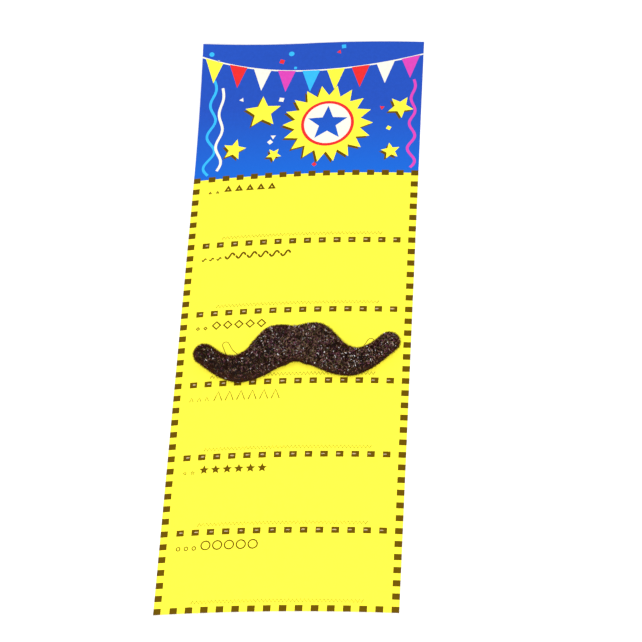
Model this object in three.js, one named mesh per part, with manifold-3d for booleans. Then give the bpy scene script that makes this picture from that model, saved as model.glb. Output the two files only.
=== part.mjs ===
// A fake handlebar moustache of black plush with a self-adhesive back, stapled through its
// backing paper to a long display card. The card carries six tear-off sections under a header,
// and the moustache sits on the third section from the top.
//
// Millimetres, +Z up. The card lies face up with its length along Y and its header towards +Y.
// It is bowed across its width, so it stands on its two long edges, and the origin is on the
// surface that it stands on, under the middle of the card.
//
// Everything is laid out on a flat card first, with z = 0 at the card's underside, and is then
// bent over the bow of the card.
import * as THREE from "three";
import { mergeVertices } from "three/addons/utils/BufferGeometryUtils.js";
import Module from "manifold-3d";

// Card: four by eleven inches, with the middle raised above its long edges.
const CARD_WIDTH = 101.6;
const CARD_LENGTH = 279.4;
const CARD_THICKNESS = 0.5;
const CARD_BOW = 3.1;
const CORNER_LIFT = 6.5; // how far the header's left corner has sprung up from the bow
const CARD_STRIPS = 25; // flat strips across the bow, an odd number so that the middle one is level
const CARD_ROWS = 24;

// Tear-off sections, counted from the bottom edge of the card.
const SECTIONS = 6;
const SECTION_PITCH = 34.58;
const FOOT_MARGIN = 1.35; // bottom edge of the card to the middle of the lowest printed line
const MOUSTACHE_LINE = 3; // the moustache sits on this line

// Each line between two sections is perforated with a row of short slits.
const SLIT_COLUMNS = 14;
const SLIT_PITCH = 6.45;
const SLIT_LENGTH = 1.1;
const SLIT_WIDTH = 0.25;

// Pin hole in the corner of the header.
const PIN_HOLE_DIAMETER = 1.2;
const PIN_HOLE_SIDES = 10;
const PIN_HOLE_FROM_LEFT = 7.6;
const PIN_HOLE_FROM_TOP = 8.7;

// Moustache outline, tip to tip and from the lowest lobe to the highest hump.
const MOUSTACHE_WIDTH = 89.2;
const MOUSTACHE_HEIGHT = 26.4;
const MOUSTACHE_OFFSET_X = 2.4; // from the middle of the card
const MOUSTACHE_OFFSET_Y = 0.1; // from the printed line it sits on
const MOUSTACHE_TURN = 2.5; // degrees, right end up

// One row for each section across the right half, from the middle out to the centre of the round
// tip. out is a share of half the width. rise, the height of the spine, and half, the half depth
// of the moustache across its spine, are shares of the height.
const SPINE = [
  { out: 0.0, rise: 0.625, half: 0.32 },
  { out: 0.165, rise: 0.605, half: 0.385 },
  { out: 0.27, rise: 0.485, half: 0.335 },
  { out: 0.39, rise: 0.33, half: 0.285 },
  { out: 0.54, rise: 0.25, half: 0.252 },
  { out: 0.67, rise: 0.3, half: 0.208 },
  { out: 0.79, rise: 0.43, half: 0.18 },
  { out: 0.895, rise: 0.585, half: 0.178 },
];

// Layers under the pile, and the plush itself.
const LAYER_GAP = 0.1;
const PAPER_THICKNESS = 0.2;
const PAPER_INSET = 1.3; // from the outline of the moustache
const ADHESIVE_THICKNESS = 0.3;
const ADHESIVE_INSET = 1.8;
const GROUND_THICKNESS = 0.8; // the cloth that the pile is woven into
const PILE_HEIGHT = 3.1;
const PILE_SPLAY = 1.1; // how far the pile leans out past the cut edge of the ground cloth
const TUFT_DEPTH = 0.45;

// Rings of the pile, from its root at the cut edge up over the splayed rim to the crown. inset is
// a share of the splay, share is the part kept of what reach is then left from the spine, and
// rise is a share of the pile's height. The pile stands in tufts: every second point of a ring is
// drawn in towards the spine and dips, each by its own share of the tuft depth.
const PILE_RINGS = [
  { inset: 1.0, share: 1.0, rise: 0.0, drawn: 0.0, dip: 0.0 },
  { inset: 0.45, share: 1.0, rise: 0.22, drawn: 0.5, dip: 0.5 },
  { inset: 0.0, share: 1.0, rise: 0.5, drawn: 1.0, dip: 1.0 },
  { inset: 0.1, share: 1.0, rise: 0.8, drawn: 1.0, dip: 1.0 },
  { inset: 0.7, share: 0.97, rise: 0.97, drawn: 0.8, dip: 0.8 },
  { inset: 0.8, share: 0.66, rise: 1.03, drawn: 0.0, dip: 0.8 },
  { inset: 0.8, share: 0.32, rise: 1.05, drawn: 0.0, dip: 0.8 },
];
const CROWN_RISE = 1.03;
const RIB_CHORD = 0.045; // share of the spine each way that a rib's direction is averaged over
const PLUSH_STATIONS = 86;
const PLUSH_CAP_STEPS = 12;
const LAYER_STATIONS = 46;
const LAYER_CAP_STEPS = 5;

// Staple: its crown is pulled down into the pile, and its legs are clinched behind the card.
const STAPLE_CROWN = 12.8;
const STAPLE_WIRE = 0.55;
const STAPLE_CLINCH = 4;
const STAPLE_CLEARANCE = 0.25;
const STAPLE_OUT = -0.19; // share of half the moustache's width, from its middle
const STAPLE_RISE = 0.62; // share of the moustache's height
const STAPLE_TURN = 55; // degrees from the moustache's length

const CUT_MARGIN = 2; // how far a cutter runs past what it cuts

// Heights of the layers above the underside of the flat card.
const PAPER_Z = CARD_THICKNESS + LAYER_GAP;
const ADHESIVE_Z = PAPER_Z + PAPER_THICKNESS + LAYER_GAP;
const PLUSH_Z = ADHESIVE_Z + ADHESIVE_THICKNESS + LAYER_GAP;
const PILE_Z = PLUSH_Z + GROUND_THICKNESS;
const PLUSH_TOP_Z = PILE_Z + PILE_HEIGHT * Math.max(...PILE_RINGS.map((ring) => ring.rise));

const wasm = await Module();
wasm.setup();

// Where a printed line lies on the flat card. Line 0 is at its foot, and the last one is under
// the header.
function lineY(line) {
  return -CARD_LENGTH / 2 + FOOT_MARGIN + line * SECTION_PITCH;
}

const moustachePlace = new THREE.Matrix4()
  .makeRotationZ(THREE.MathUtils.degToRad(MOUSTACHE_TURN))
  .setPosition(MOUSTACHE_OFFSET_X, lineY(MOUSTACHE_LINE) + MOUSTACHE_OFFSET_Y, 0);

const staplePlace = new THREE.Matrix4()
  .makeRotationZ(THREE.MathUtils.degToRad(STAPLE_TURN))
  .setPosition((STAPLE_OUT * MOUSTACHE_WIDTH) / 2, STAPLE_RISE * MOUSTACHE_HEIGHT, 0)
  .premultiply(moustachePlace);

// Bends geometry laid out on the flat card over the card's bow, an arc about an axis along Y, and
// lifts what lies towards the header's left corner.
function bend(geometry) {
  const radius = CARD_WIDTH ** 2 / (8 * CARD_BOW);
  const drop = radius * Math.cos(CARD_WIDTH / 2 / radius);
  const levelHalf = CARD_WIDTH / CARD_STRIPS / 2;
  const headerFoot = lineY(SECTIONS);
  const position = geometry.getAttribute("position");
  for (let i = 0; i < position.count; i += 1) {
    const x = position.getX(i);
    const angle = x / radius;
    const reach = radius + position.getZ(i);
    const aside = Math.max(0, (-x - levelHalf) / (CARD_WIDTH / 2 - levelHalf));
    const along = Math.max(0, (position.getY(i) - headerFoot) / (CARD_LENGTH / 2 - headerFoot));
    position.setX(i, reach * Math.sin(angle));
    position.setZ(i, reach * Math.cos(angle) - drop + CORNER_LIFT * (aside * along) ** 2);
  }
  return geometry;
}

function solidOf(geometry) {
  const bare = geometry.index ? geometry.toNonIndexed() : geometry.clone();
  bare.deleteAttribute("normal");
  bare.deleteAttribute("uv");
  const merged = mergeVertices(bare, 1e-4);
  return new wasm.Manifold(
    new wasm.Mesh({
      numProp: 3,
      vertProperties: merged.getAttribute("position").array,
      triVerts: new Uint32Array(merged.index.array),
    }),
  );
}

function geometryOf(solid) {
  const { vertProperties, triVerts } = solid.getMesh();
  const shared = new THREE.BufferGeometry()
    .setAttribute("position", new THREE.BufferAttribute(vertProperties, 3))
    .setIndex(new THREE.BufferAttribute(triVerts, 1));
  const flat = shared.toNonIndexed();
  flat.computeVertexNormals();
  return flat;
}

function namedMesh(name, solid, look) {
  const mesh = new THREE.Mesh(geometryOf(solid), new THREE.MeshStandardMaterial(look));
  mesh.name = name;
  return mesh;
}

// A box between two heights of the flat card, over its middle.
function flatBox(length, width, low, high) {
  return new THREE.BoxGeometry(length, width, high - low).translate(0, 0, (low + high) / 2);
}

// The closed outline of the moustache, anticlockwise, as points that each know the foot on the
// spine that they stand on, the way out from it and how far out the outline lies. Ribs stand
// square to a chord of the spine, so that they don't cross inside its bends.
function outline(stations, capSteps) {
  const half = SPINE.map(
    (row) =>
      new THREE.Vector3(
        (row.out * MOUSTACHE_WIDTH) / 2,
        row.rise * MOUSTACHE_HEIGHT,
        row.half * MOUSTACHE_HEIGHT,
      ),
  );
  const mirrored = half
    .slice(1)
    .reverse()
    .map((p) => new THREE.Vector3(-p.x, p.y, p.z));
  const spine = new THREE.CatmullRomCurve3([...mirrored, ...half]);
  const sections = Array.from({ length: stations + 1 }, (_, i) => {
    const at = i / stations;
    const point = spine.getPointAt(at);
    const ahead = spine.getPointAt(Math.min(1, at + RIB_CHORD));
    const behind = spine.getPointAt(Math.max(0, at - RIB_CHORD));
    return {
      foot: new THREE.Vector2(point.x, point.y),
      along: new THREE.Vector2(ahead.x - behind.x, ahead.y - behind.y).normalize(),
      reach: point.z,
    };
  });
  const side = (section, turn) => ({
    foot: section.foot,
    way: section.along.clone().rotateAround(new THREE.Vector2(), turn),
    reach: section.reach,
  });
  const quarter = Math.PI / 2;
  const cap = (section, start) =>
    Array.from({ length: capSteps - 1 }, (_, i) =>
      side(section, start + (Math.PI * (i + 1)) / capSteps),
    );
  return [
    ...sections.map((section) => side(section, -quarter)),
    ...cap(sections[stations], -quarter),
    ...[...sections].reverse().map((section) => side(section, quarter)),
    ...cap(sections[0], quarter),
  ];
}

// A closed pad in the moustache's outline. Each ring runs round the outline, from the bottom edge
// up, as far out and as high as reachOf and heightOf say, and both faces close on the spine.
function pad(loop, rings, { reachOf, heightOf, floor, crown }) {
  const corners = [];
  const triangle = (...three) => corners.push(...three.flatMap((p) => [p.x, p.y, p.z]));
  const placed = rings.map((ring, r) =>
    loop.map((point, i) => {
      const tuft = (r + i) % 2;
      const reach = reachOf(ring, point, tuft);
      return new THREE.Vector3(
        point.foot.x + point.way.x * reach,
        point.foot.y + point.way.y * reach,
        heightOf(ring, tuft),
      );
    }),
  );
  const first = placed[0];
  const last = placed[placed.length - 1];
  loop.forEach((point, i) => {
    const next = (i + 1) % loop.length;
    const foot = (at, z) => new THREE.Vector3(loop[at].foot.x, loop[at].foot.y, z);
    for (let r = 1; r < placed.length; r += 1) {
      triangle(placed[r - 1][i], placed[r - 1][next], placed[r][next]);
      triangle(placed[r - 1][i], placed[r][next], placed[r][i]);
    }
    triangle(last[i], last[next], foot(i, crown));
    triangle(first[next], first[i], foot(i, floor));
    if (loop[next].foot.distanceTo(point.foot) > 0) {
      triangle(last[next], foot(next, crown), foot(i, crown));
      triangle(first[next], foot(i, floor), foot(next, floor));
    }
  });
  return new THREE.BufferGeometry().setAttribute(
    "position",
    new THREE.Float32BufferAttribute(corners, 3),
  );
}

// Both holes through which the staple's legs pass, cut out of a bent solid.
function withLegHoles(solid) {
  const side = STAPLE_WIRE + 2 * STAPLE_CLEARANCE;
  return [-1, 1].reduce((rest, end) => {
    const hole = flatBox(side, side, -CUT_MARGIN, PLUSH_TOP_Z + CUT_MARGIN);
    hole.translate((end * (STAPLE_CROWN - STAPLE_WIRE)) / 2, 0, 0).applyMatrix4(staplePlace);
    return rest.subtract(solidOf(bend(hole)));
  }, solid);
}

function buildCard() {
  const sheet = new THREE.BoxGeometry(
    CARD_WIDTH,
    CARD_LENGTH,
    CARD_THICKNESS,
    CARD_STRIPS,
    CARD_ROWS,
    1,
  );
  let card = solidOf(bend(sheet.translate(0, 0, CARD_THICKNESS / 2)));
  const cut = (geometry) => {
    card = card.subtract(solidOf(bend(geometry)));
  };
  for (let line = 1; line < SECTIONS; line += 1) {
    for (let column = 0; column < SLIT_COLUMNS; column += 1) {
      const slit = flatBox(SLIT_LENGTH, SLIT_WIDTH, -CUT_MARGIN, CARD_THICKNESS + CUT_MARGIN);
      cut(slit.translate((column - (SLIT_COLUMNS - 1) / 2) * SLIT_PITCH, lineY(line), 0));
    }
  }
  const pin = new THREE.CylinderGeometry(
    PIN_HOLE_DIAMETER / 2,
    PIN_HOLE_DIAMETER / 2,
    CARD_THICKNESS + 2 * CUT_MARGIN,
    PIN_HOLE_SIDES,
  );
  pin.rotateX(Math.PI / 2);
  cut(
    pin.translate(
      PIN_HOLE_FROM_LEFT - CARD_WIDTH / 2,
      CARD_LENGTH / 2 - PIN_HOLE_FROM_TOP,
      CARD_THICKNESS / 2,
    ),
  );
  return withLegHoles(card);
}

// A thin layer between the card and the plush.
function buildLayer(inset, low, thickness) {
  const shape = pad(outline(LAYER_STATIONS, LAYER_CAP_STEPS), [low, low + thickness], {
    reachOf: (height, point) => point.reach - inset,
    heightOf: (height) => height,
    floor: low,
    crown: low + thickness,
  });
  return withLegHoles(solidOf(bend(shape.applyMatrix4(moustachePlace))));
}

function buildPlush() {
  const cutEdge = { ...PILE_RINGS[0], below: GROUND_THICKNESS };
  const shape = pad(outline(PLUSH_STATIONS, PLUSH_CAP_STEPS), [cutEdge, ...PILE_RINGS], {
    reachOf: (ring, point, tuft) =>
      (point.reach - ring.inset * PILE_SPLAY) * ring.share - tuft * ring.drawn * TUFT_DEPTH,
    heightOf: (ring, tuft) =>
      PILE_Z - (ring.below ?? 0) + ring.rise * PILE_HEIGHT - tuft * ring.dip * TUFT_DEPTH,
    floor: PLUSH_Z,
    crown: PILE_Z + CROWN_RISE * PILE_HEIGHT,
  });
  const plush = solidOf(bend(shape.applyMatrix4(moustachePlace)));
  const parting = flatBox(
    STAPLE_CROWN + 2 * STAPLE_CLEARANCE,
    STAPLE_WIRE + 2 * STAPLE_CLEARANCE,
    PILE_Z,
    PLUSH_TOP_Z + CUT_MARGIN,
  );
  return withLegHoles(plush.subtract(solidOf(bend(parting.applyMatrix4(staplePlace)))));
}

// A wire staple: its side profile, extruded across by the wire's thickness.
function buildStaple() {
  const outer = STAPLE_CROWN / 2;
  const inner = outer - STAPLE_WIRE;
  const clinchEnd = outer - STAPLE_CLINCH;
  const crownLow = PILE_Z + STAPLE_CLEARANCE;
  const crownHigh = crownLow + STAPLE_WIRE;
  const clinchHigh = -STAPLE_CLEARANCE;
  const clinchLow = clinchHigh - STAPLE_WIRE;
  const rightHalf = [
    [outer, crownHigh],
    [outer, clinchLow],
    [clinchEnd, clinchLow],
    [clinchEnd, clinchHigh],
    [inner, clinchHigh],
    [inner, crownLow],
  ];
  const leftHalf = [...rightHalf].reverse().map(([x, y]) => [-x, y]);
  const profile = new THREE.Shape([...rightHalf, ...leftHalf].map((p) => new THREE.Vector2(...p)));
  const wire = new THREE.ExtrudeGeometry(profile, { depth: STAPLE_WIRE, bevelEnabled: false });
  wire.translate(0, 0, -STAPLE_WIRE / 2).rotateX(Math.PI / 2);
  return solidOf(bend(wire.applyMatrix4(staplePlace)));
}

const CARD_LOOK = { color: 0xfff02a, roughness: 0.45, metalness: 0 };
const PAPER_LOOK = { color: 0xf4f1e6, roughness: 0.6, metalness: 0 };
const ADHESIVE_LOOK = { color: 0xe9e4d2, roughness: 0.35, metalness: 0 };
const PLUSH_LOOK = { color: 0x171214, roughness: 0.8, metalness: 0 };
const STEEL_LOOK = { color: 0xb9bcc0, roughness: 0.3, metalness: 1 };

const moustache = new THREE.Group();
moustache.add(
  namedMesh("backing_paper", buildLayer(PAPER_INSET, PAPER_Z, PAPER_THICKNESS), PAPER_LOOK),
  namedMesh(
    "adhesive_back",
    buildLayer(ADHESIVE_INSET, ADHESIVE_Z, ADHESIVE_THICKNESS),
    ADHESIVE_LOOK,
  ),
  namedMesh("moustache_plush", buildPlush(), PLUSH_LOOK),
);

const part = new THREE.Group();
part.add(
  namedMesh("display_card", buildCard(), CARD_LOOK),
  moustache,
  namedMesh("staple", buildStaple(), STEEL_LOOK),
);

export default part;
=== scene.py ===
# The looks of a fake handlebar moustache on its display card: a plush pile of single hairs over
# a dense bed, a wire staple sunk in the pile, and a bowed, printed and perforated card.
#
# Lengths are in millimetres, and metres() turns them into Blender's units where a mesh is made.
# The card and everything on it is laid out flat first, with z = 0 at the card's underside, and
# bend() then carries it over the card's bow, as in the part's own source.
import math
import random

import bpy
import numpy as np
from mathutils import Matrix, Vector, noise
from mathutils.geometry import delaunay_2d_cdt


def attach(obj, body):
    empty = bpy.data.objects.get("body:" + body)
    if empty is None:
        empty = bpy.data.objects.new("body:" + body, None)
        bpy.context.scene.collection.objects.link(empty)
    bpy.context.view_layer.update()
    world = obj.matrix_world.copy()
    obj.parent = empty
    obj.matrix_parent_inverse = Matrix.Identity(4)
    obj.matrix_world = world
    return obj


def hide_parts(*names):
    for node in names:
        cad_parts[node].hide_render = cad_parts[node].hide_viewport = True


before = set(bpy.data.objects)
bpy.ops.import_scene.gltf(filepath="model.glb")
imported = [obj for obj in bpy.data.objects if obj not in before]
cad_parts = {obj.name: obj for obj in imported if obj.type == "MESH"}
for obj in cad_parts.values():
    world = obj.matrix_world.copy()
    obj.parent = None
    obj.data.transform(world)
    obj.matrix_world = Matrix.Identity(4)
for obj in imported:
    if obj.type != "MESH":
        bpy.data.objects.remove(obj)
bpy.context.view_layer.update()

MM = 0.001
BODY = "root"

# Camera, fitted to the printed grid of the card in the photograph
CAMERA_PLACE = (188.7, -522.2, 926.1)
CAMERA_AIM = (11.82, -6.07, 3.6)
CAMERA_UP = (0.0283, 0.8747, 0.4838)
CAMERA_LENS = 140.2
SENSOR = 36.0

# Card
CARD_WIDTH = 101.6
CARD_LENGTH = 279.4
CARD_THICKNESS = 0.5
CARD_BOW = 3.1
CORNER_LIFT = 6.5
CARD_STRIPS = 25
LEVEL_HALF = CARD_WIDTH / CARD_STRIPS / 2
BOW_STEP = 2.6
CURL_STEP = 3.6
SECTIONS = 6
SECTION_PITCH = 34.58
FOOT_MARGIN = 1.35
HALF_W = CARD_WIDTH / 2
HALF_L = CARD_LENGTH / 2
EDGE_SLACK = 1e-4
MERGE_DISTANCE = 1e-5

# Printed dashes, and the perforation through the inner ones, where the ink is chipped
DASH_COLUMNS = 16
DASH_PITCH = 6.533
DASH_LENGTH = 3.2
DASH_HEIGHT = 2.75
DASH_SHIFT = 0.25
BORDER_DASHES = 6
SLIT_PITCH = 6.45
SLIT_LENGTH = 1.1
SLIT_WIDTH = 0.25
CHIP_LENGTH = 1.7
CHIP_WIDTH = 0.6
CHIP_POINTS = 9
CHIP_SHIFT = (0.15, 0.15)
CHIP_STRAY = (0.15, 0.1)
CHIP_LONG = (0.8, 1.15)
CHIP_WIDE = (0.75, 1.2)
CHIP_RAGGED = (0.85, 1.15)
CHIP_TURN = 0.7
CHIP_SEED = 3

# Pin hole in the header's corner
PIN_HOLE_RADIUS = 0.6
PIN_HOLE_POINTS = 14
PIN_HOLE_FROM_LEFT = 7.6
PIN_HOLE_FROM_TOP = 8.7

# Moustache
MOUSTACHE_WIDTH = 89.2
MOUSTACHE_HEIGHT = 26.4
MOUSTACHE_OFFSET = (2.4, 0.1)
MOUSTACHE_TURN = math.radians(2.5)
MOUSTACHE_LINE = 3
SPINE = (
    # out, rise, half
    (0.0, 0.625, 0.32),
    (0.165, 0.605, 0.385),
    (0.27, 0.485, 0.335),
    (0.39, 0.33, 0.285),
    (0.54, 0.25, 0.252),
    (0.67, 0.3, 0.208),
    (0.79, 0.43, 0.18),
    (0.895, 0.585, 0.178),
)
RIB_CHORD = 0.045
STATIONS = 240
CAP_STEPS = 34
CURVE_STEPS = 60

# Layers under the pile, and the pile
LAYER_GAP = 0.1
PAPER_THICKNESS = 0.2
ADHESIVE_THICKNESS = 0.3
GROUND_THICKNESS = 0.8
PILE_HEIGHT = 3.1
PLUSH_Z = CARD_THICKNESS + 3 * LAYER_GAP + PAPER_THICKNESS + ADHESIVE_THICKNESS
PILE_Z = PLUSH_Z + GROUND_THICKNESS
BED_EDGE = (
    # inset, rise: the rounded edge of the dense bed that the hairs stand in, from the cloth up
    (0.65, 0.0),
    (0.55, 0.08),
    (0.5, 0.16),
    (0.5, 0.25),
    (0.6, 0.34),
    (0.8, 0.42),
    (1.15, 0.49),
    (1.65, 0.55),
    (2.05, 0.59),
    (2.5, 0.62),
)
BED_RINGS = 15
BED_CROWN = 0.65
BED_BUMP = 0.3
BED_BUMP_SIZE = 1.3

# Staple
STAPLE_CROWN = 12.8
STAPLE_WIRE = 0.55
STAPLE_CLINCH = 4.0
STAPLE_CLEARANCE = 0.25
STAPLE_BEND = 0.55
STAPLE_OUT = -0.19
STAPLE_RISE = 0.62
STAPLE_TURN = math.radians(55)
STAPLE_SIDES = 14
STAPLE_BEND_STEPS = 7
STAPLE_HOLE_POINTS = 12
STAPLE_GROOVE = 0.35
STAPLE_GROOVE_SLOPE = 0.9
STAPLE_GROOVE_FLOOR = 0.1


def metres(points):
    """Points in millimetres as a list of tuples in metres."""
    return [tuple(float(c) * MM for c in p) for p in points]


def line_y(line):
    """Where a printed line lies. Line 0 is at the foot and the last one is under the header."""
    return -HALF_L + FOOT_MARGIN + line * SECTION_PITCH


def bend(points):
    """Points laid out on the flat card, carried over its bow and its sprung header corner."""
    points = np.asarray(points, float).reshape(-1, 3)
    radius = CARD_WIDTH**2 / (8 * CARD_BOW)
    drop = radius * math.cos(HALF_W / radius)
    x, y, z = points.T
    aside = np.clip((-x - LEVEL_HALF) / (HALF_W - LEVEL_HALF), 0, None)
    along = np.clip((y - line_y(SECTIONS)) / (HALF_L - line_y(SECTIONS)), 0, None)
    reach = radius + z
    lifted = reach * np.cos(x / radius) - drop + CORNER_LIFT * (aside * along) ** 2
    return np.column_stack([reach * np.sin(x / radius), y, lifted])


def turned(points, angle, shift):
    """Points turned about Z and shifted across the flat card."""
    points = np.array(points, float)
    c, s = math.cos(angle), math.sin(angle)
    x = points[:, 0] * c - points[:, 1] * s + shift[0]
    y = points[:, 0] * s + points[:, 1] * c + shift[1]
    return np.column_stack([x, y, points[:, 2:]])


def moustache_to_card(points):
    """Points in the moustache's own layout, carried to the flat card."""
    shift = (MOUSTACHE_OFFSET[0], line_y(MOUSTACHE_LINE) + MOUSTACHE_OFFSET[1])
    return turned(points, MOUSTACHE_TURN, shift)


def staple_to_moustache(points):
    """Points in the staple's own layout, carried to the moustache's."""
    shift = (STAPLE_OUT * MOUSTACHE_WIDTH / 2, STAPLE_RISE * MOUSTACHE_HEIGHT)
    return turned(points, STAPLE_TURN, shift)


# Materials
GRAIN_SPREAD = (0.35, 0.65)
GRAIN_DETAIL = 4.0
TOOTH_DETAIL = 3.0
TOOTH_DEPTH = 0.1
INK_SHADE = 0.93
INK_ROUGHNESS = 0.5
BLUE_HEAD = (0.012, 0.066, 0.42)
BLUE_FOOT = (0.004, 0.115, 0.56)
BLUE_FADE = (66.0, 106.0)
HAIR_TONES = (0.5, 1.5)
HAIR_GRAIN = 0.8


def new_material(name):
    material = bpy.data.materials.new(name)
    material.use_nodes = True
    return material, material.node_tree.nodes["Principled BSDF"]


def add_grain(material, shader, colours, size, bump_size=None, bump=0.0):
    """Lets a surface's colour wander between two tones, with a fine bump if asked."""
    nodes, links = material.node_tree.nodes, material.node_tree.links
    place = nodes.new("ShaderNodeTexCoord")
    grain = nodes.new("ShaderNodeTexNoise")
    grain.inputs["Scale"].default_value = 1 / (size * MM)
    grain.inputs["Detail"].default_value = GRAIN_DETAIL
    ramp = nodes.new("ShaderNodeValToRGB")
    for element, position, colour in zip(ramp.color_ramp.elements, GRAIN_SPREAD, colours):
        element.position = position
        element.color = (*colour, 1.0)
    links.new(place.outputs["Object"], grain.inputs["Vector"])
    links.new(grain.outputs["Fac"], ramp.inputs["Fac"])
    links.new(ramp.outputs["Color"], shader.inputs["Base Color"])
    if bump_size:
        tooth = nodes.new("ShaderNodeTexNoise")
        tooth.inputs["Scale"].default_value = 1 / (bump_size * MM)
        tooth.inputs["Detail"].default_value = TOOTH_DETAIL
        lift = nodes.new("ShaderNodeBump")
        lift.inputs["Strength"].default_value = bump
        lift.inputs["Distance"].default_value = TOOTH_DEPTH * MM
        links.new(place.outputs["Object"], tooth.inputs["Vector"])
        links.new(tooth.outputs["Fac"], lift.inputs["Height"])
        links.new(lift.outputs["Normal"], shader.inputs["Normal"])


def ink(name, colour, gloss=0.15):
    """Printing ink on board, with the slight mottling of offset print and a thin varnish."""
    material, shader = new_material(name)
    tones = (tuple(c * INK_SHADE for c in colour), colour)
    add_grain(material, shader, tones, size=1.4, bump_size=0.5, bump=0.12)
    shader.inputs["Roughness"].default_value = INK_ROUGHNESS
    shader.inputs["Specular IOR Level"].default_value = gloss
    return material


def header_blue():
    """The header's blue, which lightens towards its foot."""
    material = ink("blue_ink", BLUE_HEAD)
    nodes, links = material.node_tree.nodes, material.node_tree.links
    base = nodes["Principled BSDF"].inputs["Base Color"]
    grained = base.links[0].from_socket
    place = nodes.new("ShaderNodeTexCoord")
    axes = nodes.new("ShaderNodeSeparateXYZ")
    fade = nodes.new("ShaderNodeMapRange")
    fade.inputs["From Min"].default_value = BLUE_FADE[0] * MM
    fade.inputs["From Max"].default_value = BLUE_FADE[1] * MM
    fade.inputs["To Min"].default_value = 1.0
    fade.inputs["To Max"].default_value = 0.0
    mix = nodes.new("ShaderNodeMixRGB")
    mix.inputs["Color2"].default_value = (*BLUE_FOOT, 1.0)
    links.new(place.outputs["Object"], axes.inputs[0])
    links.new(axes.outputs["Y"], fade.inputs["Value"])
    links.new(fade.outputs["Result"], mix.inputs["Fac"])
    links.new(grained, mix.inputs["Color1"])
    links.new(mix.outputs["Color"], base)
    return material


def board():
    """Uncoated grey-white board on the card's back and cut edges."""
    material, shader = new_material("board_back")
    tones = ((0.66, 0.64, 0.58), (0.78, 0.76, 0.71))
    add_grain(material, shader, tones, size=0.9, bump_size=0.35, bump=0.35)
    shader.inputs["Roughness"].default_value = 0.85
    return material


def release_paper():
    """Smooth coated paper that peels off the adhesive."""
    material, shader = new_material("coated_paper")
    tones = ((0.82, 0.8, 0.74), (0.9, 0.88, 0.83))
    add_grain(material, shader, tones, size=2.0, bump_size=0.4, bump=0.1)
    shader.inputs["Roughness"].default_value = 0.45
    return material


def adhesive():
    """Tacky film with a wet sheen."""
    material, shader = new_material("tacky_film")
    tones = ((0.6, 0.56, 0.44), (0.7, 0.66, 0.55))
    add_grain(material, shader, tones, size=1.2, bump_size=0.6, bump=0.3)
    shader.inputs["Roughness"].default_value = 0.3
    shader.inputs["Coat Weight"].default_value = 0.4
    return material


def staple_steel():
    """Bright drawn wire."""
    material, shader = new_material("bright_wire")
    tones = ((0.55, 0.55, 0.56), (0.78, 0.78, 0.8))
    add_grain(material, shader, tones, size=0.35, bump_size=0.12, bump=0.1)
    shader.inputs["Metallic"].default_value = 1.0
    shader.inputs["Roughness"].default_value = 0.22
    return material


def pile_bed_black():
    """The matt dark roots of the pile and its ground cloth."""
    material, shader = new_material("pile_roots")
    tones = ((0.004, 0.003, 0.0035), (0.02, 0.015, 0.017))
    add_grain(material, shader, tones, size=0.5, bump_size=0.3, bump=0.6)
    shader.inputs["Roughness"].default_value = 0.8
    return material


def hair(name, colour, roughness, gloss):
    """Shiny synthetic hair of one colour, in darker and paler strands and stretches."""
    material, shader = new_material(name)
    tones = [tuple(min(c * tone, 1.0) for c in colour) for tone in HAIR_TONES]
    add_grain(material, shader, tones, HAIR_GRAIN)
    shader.inputs["Roughness"].default_value = roughness
    shader.inputs["Specular IOR Level"].default_value = gloss
    return material


# Mesh making


def make_object(name, points, faces, materials, slots=None):
    """An object at the origin from points in millimetres, with each face's material slot."""
    mesh = bpy.data.meshes.new(name)
    mesh.from_pydata(metres(points), [], [tuple(int(i) for i in f) for f in faces])
    for material in materials:
        mesh.materials.append(material)
    if slots is not None:
        mesh.polygons.foreach_set("material_index", np.asarray(slots, np.int32))
    mesh.polygons.foreach_set("use_smooth", np.full(len(mesh.polygons), True))
    mesh.update()
    piece = bpy.data.objects.new(name, mesh)
    bpy.context.scene.collection.objects.link(piece)
    return piece


def finish_piece(piece, node_name):
    """Joins a piece to the part's body and lets it stand for one of the part's nodes."""
    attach(piece, BODY)
    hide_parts(node_name)


# The card's materials by their place in its list. The print itself is a list of closed
# outlines, each with the number of its ink, in the order they are printed.
YELLOW, BLACK, BLUE, RED, MAGENTA, CYAN, WHITE, CHIPPED, BOARD = range(9)


def box(x, y, width, height):
    """A rectangle about a point, cut off at the card's edges."""
    left, right = max(x - width / 2, -HALF_W), min(x + width / 2, HALF_W)
    low, high = max(y - height / 2, -HALF_L), min(y + height / 2, HALF_L)
    return [(left, low), (right, low), (right, high), (left, high)]


def ring(x, y, radii, points, turn=0.0):
    """A polygon about a point. With two radii it is a star."""
    radii = radii if isinstance(radii, tuple) else (radii,)
    count = points * len(radii)
    corners = []
    for i in range(count):
        angle = turn + 2 * math.pi * i / count
        radius = radii[i % len(radii)]
        corners.append((x + radius * math.cos(angle), y + radius * math.sin(angle)))
    return corners


def band(path, width):
    """A ribbon of even width along a path."""
    path = np.asarray(path, float)
    ways = np.gradient(path, axis=0)
    ways /= np.linalg.norm(ways, axis=1)[:, None]
    aside = np.column_stack([-ways[:, 1], ways[:, 0]]) * width / 2
    return [tuple(p) for p in np.vstack([path + aside, (path - aside)[::-1]])]


def dash_x(column):
    """Where the middle of a column of dashes lies."""
    return DASH_SHIFT + (column - (DASH_COLUMNS - 1) / 2) * DASH_PITCH


def slit_x(column):
    """Where the middle of a slit lies. The slits are a little out of step with the dashes."""
    return (column - (DASH_COLUMNS - 1) / 2) * SLIT_PITCH


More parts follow.
